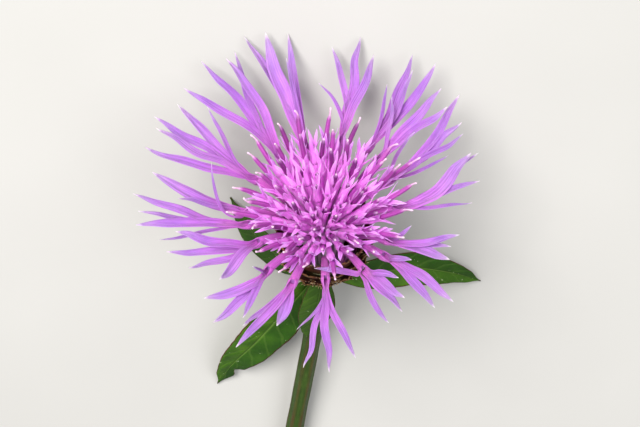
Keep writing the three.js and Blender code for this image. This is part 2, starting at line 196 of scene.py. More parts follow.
def even(line, count, value=None):
    """The line again, as count points at even steps, and the value at each."""
    s = np.r_[0, np.cumsum(np.linalg.norm(np.diff(line, axis=0), axis=1))]
    at = np.linspace(0, s[-1], count)
    out = np.column_stack([np.interp(at, s, line[:, k]) for k in range(3)])
    return out if value is None else (out, np.interp(at, s, value))


def through(points, count):
    """A smooth line through the points, and at each place on it how many of the points it has passed."""
    p = np.asarray(points, float)
    p = np.vstack([2 * p[0] - p[1], p, 2 * p[-1] - p[-2]])
    fine, passed = [], []
    for i in range(len(p) - 3):
        a, b, c, d = p[i:i + 4]
        t1 = np.linalg.norm(b - a) ** 0.5
        t2 = t1 + np.linalg.norm(c - b) ** 0.5
        t3 = t2 + np.linalg.norm(d - c) ** 0.5
        share = np.linspace(0, 1, 24, endpoint=i == len(p) - 4)
        t = (t1 + (t2 - t1) * share)[:, None]
        a1 = ((t1 - t) * a + t * b) / t1
        a2 = ((t2 - t) * b + (t - t1) * c) / (t2 - t1)
        a3 = ((t3 - t) * c + (t - t2) * d) / (t3 - t2)
        b1 = ((t2 - t) * a1 + t * a2) / t2
        b2 = ((t3 - t) * a2 + (t - t1) * a3) / (t3 - t1)
        fine.append(((t2 - t) * b1 + (t - t1) * b2) / (t2 - t1))
        passed.append(i + share)
    return even(np.vstack(fine), count, np.concatenate(passed))


def bezier(a, b, c, d, count):
    t = np.linspace(0, 1, 80)[:, None]
    line = (1 - t) ** 3 * a + 3 * t * (1 - t) ** 2 * b + 3 * t * t * (1 - t) * c + t ** 3 * d
    return even(line, count)


def frames(line, up):
    """Along a line: straight on, the side that faces up, and across (up turned over straight on)."""
    ahead = unit(np.gradient(line, axis=0))
    up = np.broadcast_to(np.asarray(up, float), line.shape)
    rise = unit(up - (up * ahead).sum(1, keepdims=True) * ahead)
    return ahead, rise, np.cross(rise, ahead)


# ---------------------------------------------------------------- meshes
class Shape:
    """One piece: closed surfaces in millimetres, with the marks along, across and tint at each vertex."""

    def __init__(self):
        self.points, self.faces, self.marks, self.kinds = [], [], [], []
        self.count = 0

    def loft(self, rings, along, across, tint=0.0, kind=0, flat=False):
        """A closed surface through rings[station, place, xyz].
        A flat ring goes out on one face and back on the other."""
        rings = np.asarray(rings, float)
        stations, n = rings.shape[:2]
        points = rings.reshape(-1, 3)
        marks = np.empty((stations, n, 3))
        marks[..., 0] = np.asarray(along).reshape(stations, -1)
        marks[..., 1] = np.broadcast_to(across, (stations, n))
        marks[..., 2] = tint
        marks = marks.reshape(-1, 3)
        index = np.arange(stations * n).reshape(stations, n)
        a, b = index[:-1], index[1:]
        quads = np.stack([a, np.roll(a, -1, 1), np.roll(b, -1, 1), b], -1).reshape(-1, 4).tolist()
        if flat:
            for first, turn in ((0, 1), (stations - 1, -1)):
                row = index[first]
                for i in range(n // 2 - 1):
                    quads.append([row[i + 1], row[i], row[n - 1 - i], row[n - 2 - i]][::turn])
        else:
            for first, turn in ((0, 1), (stations - 1, -1)):
                row = index[first]
                centre = len(points)
                points = np.vstack([points, points[row].mean(0)])
                marks = np.vstack([marks, marks[row].mean(0)])
                quads += [[centre, row[(i + 1) % n], row[i]][::turn] for i in range(n)]
        step = 1 if signed_volume(points, quads) > 0 else -1
        self.faces += [[int(self.count + v) for v in f][::step] for f in quads]
        self.kinds += [kind] * len(quads)
        self.points.append(points)
        self.marks.append(marks)
        self.count += len(points)

    def piece(self, name, materials, slot, *nodes):
        mesh = bpy.data.meshes.new(name)
        mesh.from_pydata((np.vstack(self.points) * MM).tolist(), [], self.faces)
        mesh.polygons.foreach_set("use_smooth", [True] * len(self.faces))
        mesh.polygons.foreach_set("material_index", self.kinds)
        marks = np.vstack(self.marks)
        for i, mark in enumerate(("along", "across", "tint")):
            attribute = mesh.attributes.new(mark, "FLOAT", "POINT")
            attribute.data.foreach_set("value", marks[:, i].astype(np.float32))
        for material in materials:
            mesh.materials.append(material)
        mesh.update()
        obj = bpy.data.objects.new(name, mesh)
        bpy.context.scene.collection.objects.link(obj)
        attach(obj, "root")
        if nodes:
            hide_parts(*nodes)
        return obj


def signed_volume(points, faces):
    total = 0.0
    for size in (3, 4):
        some = np.array([f for f in faces if len(f) == size], int)
        if len(some) == 0:
            continue
        for k in range(1, size - 1):
            a, b, c = points[some[:, 0]], points[some[:, k]], points[some[:, k + 1]]
            total += float((a * np.cross(b, c)).sum())
    return total


def ring_angles(count):
    return np.arange(count) * 2 * math.pi / count


def tube(shape, line, radius, up, along, tint, kind, sides, ribs=0, rib=0.0):
    """A round tube along a line, with a radius at each station."""
    ahead, rise, across = frames(line, up)
    turn = ring_angles(sides)
    swell = 1 + rib * np.cos(ribs * turn)
    r = np.asarray(radius, float)[:, None] * swell[None]
    rings = line[:, None] + across[:, None] * (r * np.cos(turn))[..., None]
    rings = rings + rise[:, None] * (r * np.sin(turn))[..., None]
    shape.loft(rings, along, np.cos(ribs * turn) if ribs else np.cos(turn), tint, kind)


def ribbon(shape, line, up, half, thickness, along, roll, bend, centre, places, ripple=None,
           tint=0.0, kind=0):
    """A thin blade along a line. roll turns it about the line, bend is how sharply it is cupped (1 / radius),
    centre moves it down off the line, and ripple(u) lifts it."""
    ahead, rise, across = frames(line, up)
    roll = np.broadcast_to(roll, len(line))[:, None]
    out = np.cos(roll) * across + np.sin(roll) * rise
    normal = np.cos(roll) * rise - np.sin(roll) * across
    u = np.linspace(-1, 1, places)[None]
    half = np.asarray(half, float)[:, None]
    bend = np.maximum(np.broadcast_to(bend, len(line)), 1e-4)[:, None]
    turn = np.clip(u * half * bend, -3, 3)
    sideways = np.sin(turn) / bend
    lift = (1 - np.cos(turn)) / bend - np.broadcast_to(centre, len(line))[:, None]
    if ripple is not None:
        lift = lift + ripple(u)
    middle = line[:, None] + out[:, None] * sideways[..., None] + normal[:, None] * lift[..., None]
    slope = np.cos(turn)[..., None] * normal[:, None] - np.sin(turn)[..., None] * out[:, None]
    skin = np.asarray(thickness, float)[:, None] / 2 * (0.25 + 0.75 * (1 - u * u))
    top, bottom = middle + slope * skin[..., None], middle - slope * skin[..., None]
    rings = np.concatenate([top, bottom[:, ::-1]], 1)
    side = np.concatenate([u[0], u[0, ::-1]])
    shape.loft(rings, along, side, tint, kind, flat=True)


# ---------------------------------------------------------------- materials
def srgb(r, g, b):
    linear = [c / 255 / 12.92 if c <= 10 else ((c / 255 + 0.055) / 1.055) ** 2.4 for c in (r, g, b)]
    return (*linear, 1.0)


class Paint:
    """A material made of nodes, on one Principled shader."""

    def __init__(self, name, **fixed):
        self.material = bpy.data.materials.new(name)
        self.material.use_nodes = True
        self.tree = self.material.node_tree
        self.shader = self.tree.nodes["Principled BSDF"]
        for key, value in fixed.items():
            self.shader.inputs[key.replace("_", " ")].default_value = value

    def node(self, kind, inputs, **settings):
        node = self.tree.nodes.new(kind)
        for key, value in settings.items():
            setattr(node, key, value)
        for key, value in inputs.items():
            socket = node.inputs[key]
            if isinstance(value, bpy.types.NodeSocket):
                self.tree.links.new(value, socket)
            else:
                socket.default_value = value
        return node

    def mark(self, name):
        return self.node("ShaderNodeAttribute", {}, attribute_name=name).outputs["Fac"]

    def calc(self, operation, a, b=0.0, c=0.0):
        return self.node("ShaderNodeMath", {0: a, 1: b, 2: c}, operation=operation).outputs[0]

    def marks(self, along, across, tint):
        """The marks as one vector, each times a number."""
        parts = {0: self.calc("MULTIPLY", self.mark("along"), along),
                 1: self.calc("MULTIPLY", self.mark("across"), across),
                 2: self.calc("MULTIPLY", self.mark("tint"), tint)}
        return self.node("ShaderNodeCombineXYZ", parts).outputs[0]

    def place(self):
        return self.node("ShaderNodeTexCoord", {}).outputs["Object"]

    def noise(self, vector, scale, detail):
        inputs = {"Vector": vector, "Scale": scale, "Detail": detail}
        return self.node("ShaderNodeTexNoise", inputs).outputs[0]

    def ramp(self, value, *stops):
        node = self.node("ShaderNodeValToRGB", {0: value})
        elements = node.color_ramp.elements
        while len(elements) < len(stops):
            elements.new(0.5)
        for element, (position, _) in zip(elements, stops):
            element.position = position
        for element, (_, color) in zip(elements, stops):
            element.color = color if isinstance(color, tuple) else (color, color, color, 1)
        return node.outputs[0]

    def mix(self, factor, a, b, how="MIX"):
        node = self.node("ShaderNodeMix", {0: factor, 6: a, 7: b}, data_type="RGBA", blend_type=how)
        return node.outputs[2]

    def finish(self, color, bump=None, distance=0.05):
        self.tree.links.new(color, self.shader.inputs["Base Color"])
        if bump is not None:
            node = self.node("ShaderNodeBump", {"Height": bump, "Distance": distance * MM, "Strength": 1.0})
            self.tree.links.new(node.outputs[0], self.shader.inputs["Normal"])
        return self.material


def soften(paint, weight, radius, scale):
    paint.shader.inputs["Subsurface Weight"].default_value = weight
    paint.shader.inputs["Subsurface Radius"].default_value = radius
    paint.shader.inputs["Subsurface Scale"].default_value = scale * MM


def ray_paint():
    paint = Paint("ray_floret", Roughness=0.5, Specular_IOR_Level=0.35,
                  Sheen_Weight=0.12, Sheen_Roughness=0.4)
    soften(paint, 0.25, (1.0, 0.45, 0.9), 0.5)
    body = paint.ramp(
        paint.mark("along"),
        (0.0, srgb(236, 200, 230)), (0.2, srgb(226, 108, 208)), (0.42, srgb(214, 102, 206)),
        (0.6, srgb(188, 112, 204)), (0.88, srgb(176, 126, 206)), (0.965, srgb(192, 158, 214)),
        (0.99, srgb(250, 236, 250)),
    )
    veins = paint.noise(paint.marks(1.6, 3.2, 37), 1.6, 3)
    veins = paint.ramp(veins, (0.3, 0.62), (0.48, 0.95), (0.68, 1.16))
    patch = paint.noise(paint.place(), 320, 2)
    patch = paint.ramp(patch, (0.3, srgb(236, 236, 250)), (0.7, srgb(255, 255, 255)))
    shade = paint.ramp(paint.mark("tint"), (0.0, srgb(250, 236, 252)), (1.0, srgb(255, 255, 250)))
    color = paint.mix(1.0, body, veins, "MULTIPLY")
    color = paint.mix(1.0, color, patch, "MULTIPLY")
    color = paint.mix(1.0, color, shade, "MULTIPLY")
    fine = paint.noise(paint.marks(2.5, 7, 37), 2.4, 4)
    return paint.finish(color, bump=fine, distance=0.16)


def corolla_paint():
    paint = Paint("disc_corolla", Roughness=0.45, Specular_IOR_Level=0.35, Sheen_Weight=0.1)
    soften(paint, 0.45, (1.0, 0.5, 0.9), 0.7)
    body = paint.ramp(
        paint.mark("along"),
        (0.0, srgb(252, 220, 248)), (0.45, srgb(255, 156, 252)), (0.62, srgb(255, 136, 252)),
        (0.84, srgb(252, 140, 250)), (1.0, srgb(240, 162, 250)),
    )
    veins = paint.noise(paint.marks(2.2, 3.0, 51), 1.8, 3)
    veins = paint.ramp(veins, (0.32, 0.84), (0.55, 1.02), (0.75, 1.1))
    outer = paint.ramp(paint.mark("tint"), (0.3, srgb(255, 255, 255)), (0.95, srgb(228, 240, 250)))
    color = paint.mix(1.0, body, veins, "MULTIPLY")
    color = paint.mix(paint.ramp(paint.mark("along"), (0.66, 0.0), (0.9, 1.0)), color, outer, "MULTIPLY")
    return paint.finish(color, bump=paint.noise(paint.marks(3, 6, 51), 2.2, 3), distance=0.05)


def anther_paint():
    paint = Paint("disc_anther", Roughness=0.42, Specular_IOR_Level=0.4, Coat_Weight=0.08)
    dark = paint.ramp(
        paint.mark("along"),
        (0.0, srgb(206, 84, 190)), (0.35, srgb(152, 42, 142)), (0.9, srgb(114, 32, 114)),
        (0.97, srgb(150, 92, 154)), (1.0, srgb(190, 140, 190)),
    )
    light = paint.ramp(
        paint.mark("along"),
        (0.0, srgb(224, 118, 218)), (0.4, srgb(194, 82, 188)), (0.9, srgb(182, 78, 178)),
        (0.97, srgb(208, 136, 204)), (1.0, srgb(230, 184, 222)),
    )
    color = paint.mix(paint.mark("tint"), dark, light)
    ridge = paint.ramp(paint.mark("across"), (0.0, 0.72), (1.0, 1.05))
    stripe = paint.ramp(paint.noise(paint.marks(3, 2.4, 23), 3, 3), (0.3, 0.8), (0.7, 1.08))
    color = paint.mix(1.0, color, ridge, "MULTIPLY")
    color = paint.mix(1.0, color, stripe, "MULTIPLY")
    return paint.finish(color, bump=paint.noise(paint.marks(5, 4, 23), 4, 3), distance=0.04)


def style_paint():
    paint = Paint("disc_style", Roughness=0.6, Specular_IOR_Level=0.3)
    soften(paint, 0.3, (1.0, 0.7, 0.8), 0.2)
    body = paint.ramp(
        paint.mark("along"),
        (0.0, srgb(216, 122, 196)), (0.4, srgb(210, 156, 198)), (1.0, srgb(220, 190, 212)),
    )
    grain = paint.ramp(paint.noise(paint.place(), 6000, 2), (0.35, 0.82), (0.6, 1.0))
    color = paint.mix(1.0, body, grain, "MULTIPLY")
    return paint.finish(color, bump=paint.noise(paint.place(), 7000, 2), distance=0.04)


def bract_paint():
    paint = Paint("bract", Roughness=0.72, Specular_IOR_Level=0.25)
    body = paint.ramp(
        paint.mark("along"),
        (0.0, srgb(88, 84, 38)), (0.3, srgb(82, 64, 32)), (0.48, srgb(58, 34, 22)), (0.8, srgb(40, 22, 17)),
        (0.93, srgb(104, 62, 38)), (1.0, srgb(176, 134, 86)),
    )
    red = paint.mix(paint.mark("tint"), body, paint.mix(0.55, body, srgb(128, 44, 40)))
    fibre = paint.ramp(paint.noise(paint.marks(2.5, 7, 19), 2.4, 4), (0.3, 0.62), (0.6, 1.0), (0.8, 1.3))
    color = paint.mix(1.0, red, fibre, "MULTIPLY")
    return paint.finish(color, bump=paint.noise(paint.marks(3, 9, 19), 3, 4), distance=0.16)


def fringe_paint():
    paint = Paint("bract_fringe", Roughness=0.65, Specular_IOR_Level=0.3)
    body = paint.ramp(
        paint.mark("along"),
        (0.0, srgb(74, 42, 26)), (0.4, srgb(140, 96, 60)), (1.0, srgb(222, 196, 152)),
    )
    grain = paint.ramp(paint.noise(paint.place(), 3000, 2), (0.3, 0.7), (0.7, 1.15))
    return paint.finish(paint.mix(1.0, body, grain, "MULTIPLY"))


def receptacle_paint():
    paint = Paint("receptacle", Roughness=0.75)
    speck = paint.noise(paint.place(), 1800, 4)
    color = paint.ramp(
        speck,
        (0.3, srgb(150, 150, 92)), (0.6, srgb(206, 206, 158)), (0.8, srgb(228, 224, 190)),
    )
    return paint.finish(color, bump=speck, distance=0.2)


def stem_paint():
    paint = Paint("stem", Roughness=0.55, Specular_IOR_Level=0.22)
    soften(paint, 0.1, (0.5, 1.0, 0.3), 0.5)
    green = paint.ramp(
        paint.noise(paint.marks(34, 1.2, 5), 1.0, 4),
        (0.3, srgb(42, 64, 16)), (0.5, srgb(50, 74, 20)), (0.72, srgb(62, 84, 28)),
    )
    ridge = paint.ramp(paint.mark("across"), (0.25, 0.0), (0.9, 1.0))
    patch = paint.ramp(paint.noise(paint.marks(11, 0.8, 5), 1.0, 3), (0.4, 0.0), (0.62, 1.0))
    mask = paint.calc("MULTIPLY", paint.calc("MULTIPLY", ridge, patch), 0.6)
    color = paint.mix(mask, green, srgb(80, 48, 32))
    return paint.finish(color, bump=paint.noise(paint.marks(60, 6, 5), 1.2, 5), distance=0.16)


def cut_paint():
    paint = Paint("stem_cut", Roughness=0.7)
    rings = paint.ramp(
        paint.mark("across"),
        (0.0, srgb(232, 232, 204)), (0.5, srgb(206, 214, 160)), (0.78, srgb(140, 160, 84)),
        (1.0, srgb(92, 112, 42)),
    )
    cells = paint.noise(paint.place(), 4500, 4)
    color = paint.mix(1.0, rings, paint.ramp(cells, (0.35, 0.78), (0.65, 1.05)), "MULTIPLY")
    return paint.finish(color, bump=cells, distance=0.1)


def leaf_paint(name, shaded):
    paint = Paint(name, Roughness=0.62, Specular_IOR_Level=0.2)
    soften(paint, 0.12, (0.4, 1.0, 0.2), 0.6)
    along, across = paint.mark("along"), paint.mark("across")
    away = paint.calc("ABSOLUTE", across)
    green = paint.ramp(
        paint.noise(paint.place(), 260, 5),
        (0.32, srgb(42, 76, 11)), (0.52, srgb(56, 94, 15)), (0.7, srgb(76, 114, 24)),
    )
    # Painted light and shade: the half on one side of the rib is painted lighter and the other half darker,
    # for how the folded halves face the light, on top of the fold's own shading.
    half = paint.calc("MULTIPLY_ADD", across, 0.5, 0.5)
    half = paint.ramp(half, (0.44, srgb(255, 255, 226)), (0.56, srgb(186, 206, 190)))
    color = paint.mix(1.0, green, half, "MULTIPLY")
    # The side veins run from the rib forwards to the edge.
    slant = paint.calc("SUBTRACT", along, paint.calc("MULTIPLY", away, VEIN_SLANT))
    wander = paint.calc("MULTIPLY", paint.noise(paint.place(), 500, 2), 0.06)
    wave = paint.calc("MULTIPLY", paint.calc("ADD", slant, wander), 2 * math.pi * VEIN_PAIRS)
    wave = paint.calc("SINE", wave)
    vein = paint.ramp(wave, (0.86, 0.0), (1.0, 1.0))
    rib = paint.ramp(away, (0.02, 0.9), (0.07, 0.0))
    lines = paint.calc("MAXIMUM", paint.calc("MULTIPLY", vein, 0.3), rib)
    color = paint.mix(paint.calc("MULTIPLY", lines, 0.5), color, srgb(104, 134, 58))
    ragged = paint.calc("MULTIPLY", paint.noise(paint.place(), 1500, 3), 0.08)
    edge = paint.ramp(paint.calc("ADD", away, ragged), (0.985, 0.0), (1.0, 1.0))
    tip = paint.ramp(along, (0.965, 0.0), (1.0, 1.0))
    color = paint.mix(paint.calc("MAXIMUM", edge, tip), color, srgb(72, 34, 22))
    speck = paint.ramp(paint.noise(paint.place(), 1900, 1), (0.74, 0.0), (0.77, 1.0))
    color = paint.mix(paint.calc("MULTIPLY", speck, 0.4), color, srgb(190, 208, 160))
    # Painted shade: the shaded copy is mixed 0.4 of the way to a dark dull green, for leaves that lie in the
    # flower's shade.
    if shaded:
        color = paint.mix(0.4, color, srgb(46, 66, 26))
    net = paint.noise(paint.place(), 1300, 4)
    height = paint.calc("SUBTRACT", paint.calc("MULTIPLY", net, 0.5), paint.calc("MULTIPLY", lines, 0.6))
    return paint.finish(color, bump=height, distance=0.22)


def floor_paint():
    paint = Paint("floor", Roughness=0.85, Specular_IOR_Level=0.2)
    cloud = paint.noise(paint.place(), 30, 2)
    color = paint.ramp(cloud, (0.3, srgb(182, 181, 178)), (0.7, srgb(186, 185, 182)))
    return paint.finish(color)


RAY = ray_paint()
COROLLA, ANTHER, STYLE = corolla_paint(), anther_paint(), style_paint()
BRACT, FRINGE = bract_paint(), fringe_paint()
STEM_SKIN, STEM_CUT = stem_paint(), cut_paint()
# The leaf material, and a copy of it with painted shade.
LEAF, LEAF_SHADED = leaf_paint("leaf", False), leaf_paint("leaf_shaded", True)
for material_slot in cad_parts["receptacle"].material_slots:
    material_slot.material = receptacle_paint()


# ---------------------------------------------------------------- ray florets
def lobe_width(t):
    rising = 0.42 + 0.58 * np.sin(math.pi * t / (2 * LOBE_BELLY))
    falling = 1 - 0.96 * ((t - LOBE_BELLY) / (1 - LOBE_BELLY)) ** 2
    return np.where(t < LOBE_BELLY, rising, falling)


def ray_lobe(shape, end, ahead, throat, lobe, sector, arc):
    """One lobe, curled round the tube's middle at its foot and flat further out.
    sector is the angle round the tube where it starts, and arc is its width there."""
    azimuth, lean, distance, width, bow = lobe
    start = end - ahead * LOBE_ROOT
    tip = polar(azimuth, lean, distance)
    length = max(distance - throat, 0.8 * np.linalg.norm(tip - end))
    side = polar(azimuth + 90, 90, bow)
    reach = unit(tip - start)
    early, late = start + ahead * length * 0.42 + side, tip - reach * length * 0.4 + side
    line = bezier(start, early, late, tip, LOBE_STATIONS)
    t = np.linspace(0, 1, LOBE_STATIONS)
    long = np.linalg.norm(np.diff(line, axis=0), axis=1).sum()
    s = t * long

    _, rise, across = frames(line, (0, 0, 1))
    sway, lift, phase = rng.normal(0, 0.16), rng.normal(0, 0.14), rng.uniform(0, 6.28)
    wave = np.sin(s * 0.75 + phase) * smooth(t, 0.15, 0.5) * smooth(1 - t, 0, 0.25)
    line = line + across * (sway * wave)[:, None] + rise * (lift * wave)[:, None]

    loose = smooth(s, 0, LOBE_FLATTENS)
    wide = smooth(s, 0.2, LOBE_WIDENS)
    twist = math.radians(rng.normal(0, 16)) * smooth(t, 0.3, 1)
    roll = sector * (1 - loose) + twist
    half = arc / 2 * (1 - wide) + width * lobe_width(t) / 2 * wide
    cup = rng.uniform(0.5, 1.1)
    bend = (1 - loose) / LOBE_FOOT_RADIUS + loose * cup / max(width / 2, 0.3)
    centre = (LOBE_FOOT_RADIUS + 0.1 * s) * (1 - loose)
    thickness = 0.13 + 0.08 * smooth(t, 0, 0.5) - 0.11 * smooth(t, 0.75, 1)
    flutter, flutter_phase = rng.uniform(0.03, 0.09), rng.uniform(0, 6.28)

    def ripple(u):
        groove = -0.13 * np.exp(-(u / 0.3) ** 2) * (half / 0.6)[:, None] * loose[:, None]
        edge = flutter * u ** 3 * np.sin(s * 1.7 + flutter_phase)[:, None] * (half * loose)[:, None]
        return groove + edge

    along = TUBE_MARK + (1 - TUBE_MARK) * t
    ribbon(shape, in_head(line), EZ, half, thickness, along, roll, bend, centre, LOBE_PLACES, ripple,
           rng.uniform())


def ray_floret(i):
    at, lean, throat, lobes = RAYS[i]
    shape = Shape()

    def bundle(radius, height):
        return polar(at, 90, radius) + np.array([0, 0, height])

    line, passed = through([
        bundle(RAY_ROOT_RING, FLORET_ROOT), bundle(RAY_RING - 0.25, -4.1), bundle(RAY_RING + 0.25, 0.2),
        polar(at, lean - 2, throat * 0.6), polar(at, lean, throat),
    ], RAY_STATIONS)
    end, ahead = line[-1], unit(line[-1] - line[-2])
    s = np.r_[0, np.cumsum(np.linalg.norm(np.diff(line, axis=0), axis=1))]
    keep = s < s[-1] - LOBE_ROOT + TUBE_OVERLAP
    outer, passed, s = line[keep], passed[keep], s[keep]
    # The skin turns in over the tube's end, under the feet of the lobes.
    radius = np.interp(passed, range(5), RAY_RADII)
    radius = np.r_[radius, radius[-1] - RAY_WALL]
    # The turned-in end takes the lilac of the mark 0.6, painted light that lightens the shade inside the
    # floret's mouth.
    along = np.r_[s / s[-1] * TUBE_MARK, 0.6]
    _, rise, across = frames(in_head(outer), unit(EZ - in_world(polar(at, 90, 1))))
    outer, rise, across = (np.vstack([rows, rows[-1:]]) for rows in (outer, rise, across))
    turn = ring_angles(RAY_SIDES)
    r = radius[:, None] * (1 + 0.05 * np.cos(5 * turn))
    rings = in_head(outer)[:, None] + across[:, None] * (r * np.cos(turn))[..., None]
    rings = rings + rise[:, None] * (r * np.sin(turn))[..., None]
    shape.loft(rings, along, np.cos(5 * turn), rng.uniform())
    # The lobes share the tube's rim, and its split is on the side that faces the middle of the head.
    order = sorted(lobes, key=lambda lobe: -lobe[0])
    step = 2 * math.pi * LOBE_SHARE / len(order)
    for k, lobe in enumerate(order):
        sector = step * ((len(order) - 1) / 2 - k)
        ray_lobe(shape, end, ahead, throat, lobe, sector, LOBE_FOOT_RADIUS * step)
    name = f"ray_floret_{i + 1:02d}"
    shape.piece(name + "_petals", [RAY], "ray_floret", name)


# ---------------------------------------------------------------- disc florets
def corolla_lobe(shape, throat, ahead, radial, turn, spread, up, tint):
    length = rng.uniform(3.4, 4.7) - 0.8 * spread
    open_by = math.radians(rng.uniform(4, 17) + 9 * spread)
    tip = throat + length * (ahead * math.cos(open_by) + radial * math.sin(open_by))
    tip = tip + np.cross(ahead, radial) * rng.normal(0, 0.28)
    knee = throat + ahead * length * 0.4 + radial * length * 0.02
    late = tip - length * 0.35 * unit(ahead + radial * rng.uniform(-0.15, 0.7))
    path = bezier(throat - ahead * 0.4, knee, late, tip, TIP_STATIONS)
    t = np.linspace(0, 1, TIP_STATIONS)
    hold = 1 - smooth(t, 0.05, 0.55)
    half = np.interp(t, [0, 0.15, 0.5, 0.8, 0.95, 1], [0.3, 0.32, 0.32, 0.21, 0.08, 0.015])
    roll = turn + math.pi / 2 + math.radians(rng.normal(0, 14)) * t
    half = half * rng.uniform(0.9, 1.15)
    thickness = 0.13 - 0.08 * smooth(t, 0.5, 1)
    along = COROLLA_MARK + (1 - COROLLA_MARK) * t
    ribbon(shape, in_head(path), up, half, thickness, along, roll, 1.3 + hold, 0.46 * hold, TIP_PLACES,
           tint=tint, kind=COROLLA_PLACE)


def anther_tube(shape, throat, ahead, across, rise, spread, up, shown):
    """Gives back its top and the way it points there."""
    length = (4.1 + 1.1 * spread if shown else 2.4) + rng.uniform(-0.3, 0.5)
    sway = rng.normal(0, 0.14) * across + rng.normal(0, 0.14) * rise
    top = throat + ahead * length + sway * length * 0.5
    late = top - unit(ahead + sway) * length * 0.3
    line = bezier(throat - ahead, throat + ahead * length * 0.4, late, top, ANTHER_STATIONS)
    t = np.linspace(0, 1, ANTHER_STATIONS)
    radius = np.interp(t, [0, 0.15, 0.5, 0.88, 0.96, 1], [0.2, 0.25, 0.29, 0.27, 0.22, 0.12])
    pale = smooth(spread + rng.normal(0, 0.12), 0.45, 0.95)
    tube(shape, in_head(line), radius, up, t, pale, ANTHER_PLACE, ANTHER_SIDES, 5, 0.09)
    return top, unit(line[-1] - line[-2])


def style(shape, top, past, out, across, spread, up, tint):
    length = rng.uniform(0.4, 0.8) + 0.7 * smooth(spread, 0.7, 1) * rng.uniform(0, 1)
    aside = out * rng.normal(0.2, 0.6) + across * rng.normal(0, 0.6)
    stop = top + length * unit(past + aside * 0.8)
    late = stop - unit(past + aside) * length * 0.4
    line = bezier(top - past * 0.4, top + past * length * 0.3, late, stop, STYLE_STATIONS)
    t = np.linspace(0, 1, STYLE_STATIONS)
    radius = np.interp(t, [0, 0.3, 0.75, 0.85, 0.96, 1], [0.09, 0.1, 0.11, 0.15, 0.12, 0.04])
    tube(shape, in_head(line), radius, up, t, tint, STYLE_PLACE, STYLE_SIDES)


def pollen(shape, top, past, up, tint):
    """A crumb on the anther's tip."""
    line = top + past * np.linspace(-0.16, 0.2, CRUMB_STATIONS)[:, None]
    radius = 0.13 * np.sqrt(np.maximum(1 - np.linspace(-0.95, 0.98, CRUMB_STATIONS) ** 2, 0.02))
    radius = radius * rng.uniform(0.8, 1.2)
    along = np.full(CRUMB_STATIONS, 0.8)
    tube(shape, in_head(line), radius, up, along, tint, STYLE_PLACE, CRUMB_SIDES, 3, 0.12)


def disc_floret(place):
    spread = math.sqrt((place + 0.5) / DISC_PLACES)
    azimuth = place * GOLDEN_ANGLE
    ahead = polar(azimuth, DISC_LEAN * spread ** 1.1, 1)
    limb = 4.2 + 1.3 * spread + 0.5 * math.sin(place * 2.4)
    root = polar(azimuth, 90, DISC_RING * spread * 0.62) + np.array([0, 0, FLORET_ROOT])
    mouth = polar(azimuth, 90, DISC_RING * spread) + np.array([0, 0, DISC_RISE])
    bend = mouth + ahead * limb * 0.45 + np.array([0, 0, 0.25])
    throat = mouth + ahead * limb
    out = polar(azimuth, 90, 1)
    inward = np.array([0, 0, 1]) - out
    up = in_world(inward)
    tint = 0.7 * spread ** 2 + 0.3 * rng.uniform()
    shape = Shape()

    tube_points = [root, mouth + (root - mouth) * 0.45, mouth, bend, throat]
    line, passed = through(tube_points, COROLLA_STATIONS)
    radius = np.interp(passed, [0, 2, 3, 3.6, 4], [0.19, 0.28, 0.3, 0.4, 0.47])
    along = passed / passed[-1] * COROLLA_MARK
    tube(shape, in_head(line), radius, up, along, tint, COROLLA_PLACE, COROLLA_SIDES, 5, 0.05)

    _, rise, across = frames(np.array([throat - ahead, throat]), inward)
    rise, across = rise[-1], across[-1]
    for k in range(DISC_LOBES):
        turn = 2 * math.pi * (k + 0.5 * (place % 2)) / DISC_LOBES + rng.normal(0, 0.1)
        radial = math.cos(turn) * across + math.sin(turn) * rise
        corolla_lobe(shape, throat, ahead, radial, turn, spread, up, tint)

    shown = rng.uniform() < 0.36 + 0.5 * spread
    top, past = anther_tube(shape, throat, ahead, across, rise, spread, up, shown)
    if shown and spread > STYLES_FROM:
        style(shape, top, past, out, across, spread, up, tint)
    elif shown and rng.uniform() < 0.6:
        pollen(shape, top, past, up, tint)

    # The odd places replace the CAD part's florets, and the even ones are numbered on from them.
    in_cad = place % 2 == 1
    number = place // 2 + 1 + (0 if in_cad else DISC_PLACES // 2)
    name = f"disc_floret_{number:02d}"
    nodes = [name] if in_cad else []
    shape.piece(name + "_floret", [COROLLA, ANTHER, STYLE], "disc_floret", *nodes)


# ---------------------------------------------------------------- involucre
def outline(height):
    return np.interp(height, OUTLINE_HEIGHT, OUTLINE_RADIUS)


def fringe(shape, middle):
    """The ragged hairs round the upper part of a scale, whose middle surface is given."""
    last = BRACT_STATIONS - 1
    forward = unit(middle[-1, BRACT_PLACES // 2] - middle[-4, BRACT_PLACES // 2])
    for k in range(FRINGE_HAIRS):
        around = 2 * k / (FRINGE_HAIRS - 1) - 1
        i = int(last - abs(around) * 5.6)
        here = middle[-1, BRACT_PLACES // 2]
        if abs(around) > 0.14:
            here = middle[i, -1 if around > 0 else 0]
        across = unit(middle[i, -1] - middle[i, 0])
        normal = unit(np.cross(across, forward))
        way = across * around * 1.1 + forward * (1.05 - 0.6 * abs(around)) + normal * rng.normal(0, 0.16)
        way = unit(way)
        length = rng.uniform(0.45, 1.0)
        root = here - way * 0.12
        late = root + way * length * 0.8 + forward * 0.05
        tip = root + way * length + forward * rng.uniform(0, 0.18)
        line = bezier(root, root + way * length * 0.4, late, tip, len(FRINGE_RADII))
        along = np.linspace(0, 1, len(FRINGE_RADII))
        tube(shape, line, FRINGE_RADII, normal, along, 0.5, FRINGE_PLACE, FRINGE_SIDES)


